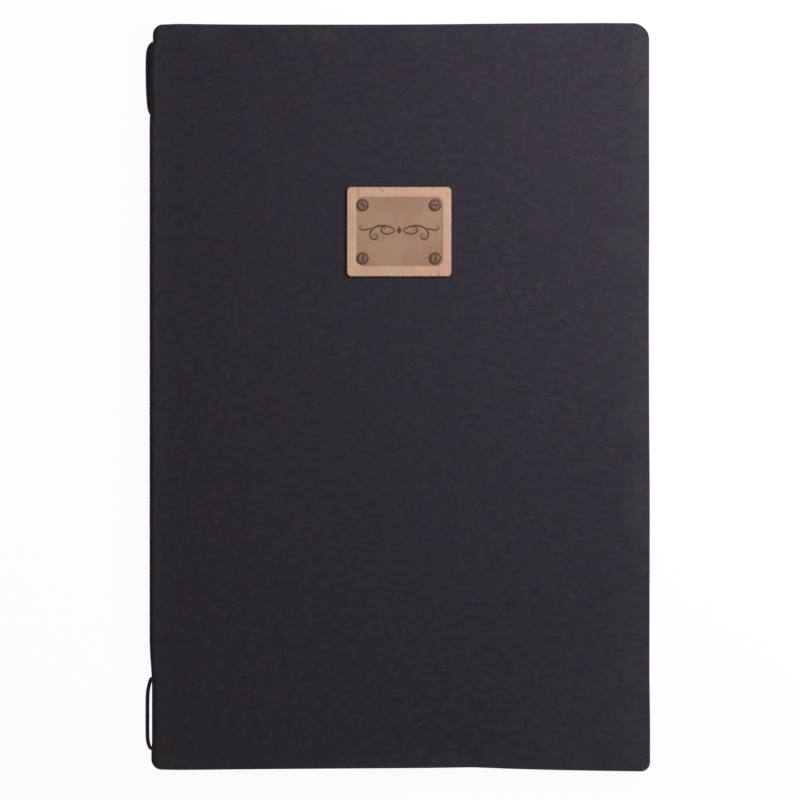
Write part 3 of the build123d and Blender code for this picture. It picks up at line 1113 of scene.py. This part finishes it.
def scroll(start, heading, length, curl_from, curl_to, lateness, stroke):
    """Points and half widths along a line whose curl grows towards its end."""
    x, y = start
    angle = math.radians(heading)
    count = round(length / stroke_step)
    points = []
    for index in range(count + 1):
        share = index / count
        swell = math.sin(math.pi * min(1, stroke_start + share)) ** stroke_fullness
        half = stroke * (stroke_thinnest + (1 - stroke_thinnest) * swell)
        points.append((x, y, half, 1))
        angle += (curl_from + (curl_to - curl_from) * share**lateness) * stroke_step
        x += math.cos(angle) * stroke_step
        y += math.sin(angle) * stroke_step
    return points


def crack_points(corners, half, depth):
    """Points closely along a crack."""
    points = []
    for start, end in zip(corners, corners[1:]):
        start, end = Vector(start), Vector(end)
        count = max(2, round((end - start).length / stroke_step))
        points += [(*start.lerp(end, index / count), half, depth) for index in range(count + 1)]
    return points


def drawn_by(points, soft_from, soft_to):
    """How strongly these strokes mark a place, from 0 to 1, with edges that run out softly."""
    tree = kdtree.KDTree(len(points))
    for index, point in enumerate(points):
        tree.insert((point[0], point[1], 0), index)
    tree.balance()
    reach = max(half for x, y, half, depth in points) + soft_to

    def strength(x, y):
        shown = 0
        for place, index, distance in tree.find_range((x, y, 0), reach):
            half, depth = points[index][2:]
            shown = max(shown, depth * (1 - ramp(distance - half, soft_from, soft_to)))
        return shown

    return strength


ornament_points = [
    (side * x * ornament_size, y * ornament_size + ornament_lift, half * ornament_size, depth)
    for shape in scrolls for x, y, half, depth in scroll(*shape) for side in (-1, 1)
]
scroll_mark = drawn_by(ornament_points, *stroke_soft)
crack_mark = drawn_by([point for crack in cracks for point in crack_points(*crack)], *crack_soft)


def lozenge_mark(x, y):
    half = lozenge_half * ornament_size
    beyond = abs(x) / half.x + abs(y - ornament_lift) / half.y - 1
    return 1 - ramp(beyond * half.x, *stroke_soft)


def outside_field(x, y):
    """How far a place lies outside the pressed field, whose corners are round."""
    beyond_x = abs(x) - field_half.x + field_corner_r
    beyond_y = abs(y) - field_half.y + field_corner_r
    corner = math.hypot(max(0, beyond_x), max(0, beyond_y))
    return corner + min(0, max(beyond_x, beyond_y)) - field_corner_r


def label_marks(x, y):
    """How pressed, burnt and cracked the label is at a place, each from 0 to 1."""
    pressed = 1 - ramp(outside_field(x, y), *press_soft)
    burnt = max(scroll_mark(x, y), lozenge_mark(x, y)) if pressed else 0
    cracked = crack_mark(x, y) if pressed < 1 else 0
    return pressed, burnt, cracked


def outward(co, core):
    """The way out of the label's outline at a point of its edge."""
    way = Vector((max(0, abs(co.x) - core.x), max(0, abs(co.y) - core.y), 0)).normalized()
    return Vector((math.copysign(way.x, co.x), math.copysign(way.y, co.y), 0))


def label_blank():
    """The patch as it is cut, finely divided on top, with a rounded edge all round."""
    bm = bmesh.new()
    inner = label_half - Vector((label_lip, label_lip))
    corner_r = label_corner_r - label_lip
    core = inner - Vector((corner_r, corner_r))
    counts = [round(2 * half / label_pitch) for half in inner]
    bmesh.ops.create_grid(bm, x_segments=counts[0], y_segments=counts[1], size=1)
    for v in bm.verts:
        x, y = v.co.x * inner.x, v.co.y * inner.y
        across, up = [max(0, (abs(c) - k) / corner_r) for c, k in ((x, core.x), (y, core.y))]
        if across and up:
            x = math.copysign(core.x + corner_r * across * math.sqrt(1 - up**2 / 2), x)
            y = math.copysign(core.y + corner_r * up * math.sqrt(1 - across**2 / 2), y)
        v.co = Vector((x, y, label_t))
    edge = [e for e in bm.edges if e.is_boundary]
    turns = [math.pi / 2 * step / lip_steps for step in range(1, lip_steps + 1)]
    levels = [(label_lip * math.sin(t), label_t - label_lip * (1 - math.cos(t))) for t in turns]
    reached = 0
    foot = [(label_lip, label_foot_round), (label_lip - label_foot_round, 0)]
    for out, level in levels + foot:
        grown = bmesh.ops.extrude_edge_only(bm, edges=edge)["geom"]
        for v in (item for item in grown if isinstance(item, bmesh.types.BMVert)):
            v.co = Vector((v.co.x, v.co.y, level)) + outward(v.co, core) * (out - reached)
        edge = [item for item in grown if isinstance(item, bmesh.types.BMEdge) and item.is_boundary]
        reached = out
    bmesh.ops.contextual_create(bm, geom=edge)
    facing_out(bm)
    return bm


def label_surface(tree, colours):
    marks = {
        name: put(tree, "ShaderNodeAttribute", attribute_name=name).outputs["Fac"] for name in mark_names
    }
    place = scaled(tree, object_place(tree), shift=(0, -label_y * MM, 0))
    elsewhere = scaled(tree, place, shift=(0.7, 0.3, 0))
    pink = within(tree, cloud(tree, place, 55, 2.0), 0.42, 0.6)
    pale = within(tree, cloud(tree, elsewhere, 70, 3.0), 0.5, 0.7)
    fibres = effect(tree, fibre_group, place, label_fibres)
    size = {
        "Half Width": label_half.x * MM, "Half Height": label_half.y * MM,
        "Corner": label_corner_r * MM,
    }
    worn = effect(tree, edge_mask_group, place, {**size, **label_rim})["Mask"]
    charred = within(tree, cloud(tree, place, 1400, 2.0), 0.3, 0.7, 0.82, 0.97)
    border = mixed(tree, pink, colours["border"], colours["border_pink"])
    border = tinted(tree, border, pale, 0.7, colours["border_pale"])
    field = mixed(tree, pink, colours["field"], colours["field_dark"])
    colour = mixed(tree, marks["pressed"], border, field)
    for mask, amount, tint in (
        (fibres["Dark"], 0.25, "edge"), (worn, 0.55, "edge"),
        (marks["burnt"], charred, "burnt"), (marks["cracked"], 0.62, "edge"),
    ):
        colour = tinted(tree, colour, mask, amount, colours[tint])
    grain = effect(tree, grain_group, place, {"Pore": label_pore})["Height"]
    return {
        "Base Color": colour, "Specular IOR Level": 0.3,
        "Roughness": within(tree, fibres["Height"], 0.3, 0.7, 0.52, 0.66),
    }, math_of(tree, "MULTIPLY_ADD", fibres["Height"], 0.5, grain)


label_holes = [((x, y, 0), shank_hole_r, punch_length * label_t) for x, y in rivet_places]
label_bm = punched(label_blank(), label_holes)
mark_layers = [label_bm.verts.layers.float.new(name) for name in mark_names]
for v in label_bm.verts:
    marks = label_marks(v.co.x, v.co.y)
    for layer, mark in zip(mark_layers, marks):
        v[layer] = mark
    if v.co.z > label_t / 2:
        pressed, burnt, cracked = marks
        swell = label_swell * noise.noise(Vector((v.co.x, v.co.y, 0)) * swell_scale)
        sunk = field_depth * pressed + burn_depth * burnt + crack_depth * cracked
        v.co.z += swell * (1 - pressed) - sunk
    v.co = (v.co + Vector((0, label_y, closed_t))) * MM
tan_leather = finished("tan_leather", label_colours, label_relief, label_surface)
label = as_piece(label_bm, "label", tan_leather, crease=75)
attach(label, "front")
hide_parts("label_patch")

# Rivets and burr washers. Four slotted brass rivets, each with a ring of painted shade round its head, hold
# the label, and each is peened over a plain washer in the board's recess.

# The darker ring round each head's edge is painted shade, standing in for its shadow and the shading of its
# bevel
rivet_colours = {
    "disc": (107, 82, 69), "rim": (92, 67, 53), "bright": (127, 101, 85), "grime": (76, 56, 46),
}
washer_colours = {"dull": (176, 146, 92), "bright": (205, 178, 122)}
shade_ring_inner_r, shade_ring_outer_r = 0.0019, 0.0023
shade_ring_unevenness = 0.0004
slot_floor, slot_lip = 0.00028, 0.0001
rivet_relief = 0.00003


def rivet_surface(tree, colours):
    place = object_place(tree)
    axes = split(tree, place)
    up = math_of(tree, "SUBTRACT", axes["Y"], label_y * MM)
    squares = []
    for value, reach in ((axes["X"], rivet_x), (up, rivet_y)):
        from_rivet = apart(tree, math_of(tree, "ABSOLUTE", value), reach * MM)
        squares.append(math_of(tree, "POWER", from_rivet, 2.0))
    radius = math_of(tree, "SQRT", math_of(tree, "ADD", *squares))
    spots = cloud(tree, place, 1100, 3.0, 0.6)
    uneven = math_of(tree, "MULTIPLY_ADD", spots, shade_ring_unevenness, radius)
    rim = within(tree, uneven, shade_ring_inner_r, shade_ring_outer_r)
    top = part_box("label_rivets")[1].z
    slot = within(tree, axes["Z"], top - slot_floor, top - slot_lip, 1.0, 0.0)
    colour = mixed(tree, within(tree, spots, 0.4, 0.7), colours["disc"], colours["bright"])
    # Painted shade: a darker ring round each head's edge.
    colour = mixed(tree, rim, colour, colours["rim"])
    colour = tinted(tree, colour, slot, math_of(tree, "SUBTRACT", 1.0, rim), colours["grime"])
    roughness = within(tree, spots, 0.3, 0.7, 0.38, 0.6)
    return {"Base Color": colour, "Metallic": 1.0, "Roughness": roughness}, spots


def washer_surface(tree, colours):
    spots = cloud(tree, object_place(tree), 900, 3.0)
    colour = mixed(tree, spots, colours["dull"], colours["bright"])
    roughness = within(tree, spots, 0.3, 0.7, 0.3, 0.5)
    return {"Base Color": colour, "Metallic": 1.0, "Roughness": roughness}, None


given_finish("label_rivets", finished("dark_brass", rivet_colours, rivet_relief, rivet_surface))
given_finish("rivet_washers", finished("plain_brass", washer_colours, 0, washer_surface))
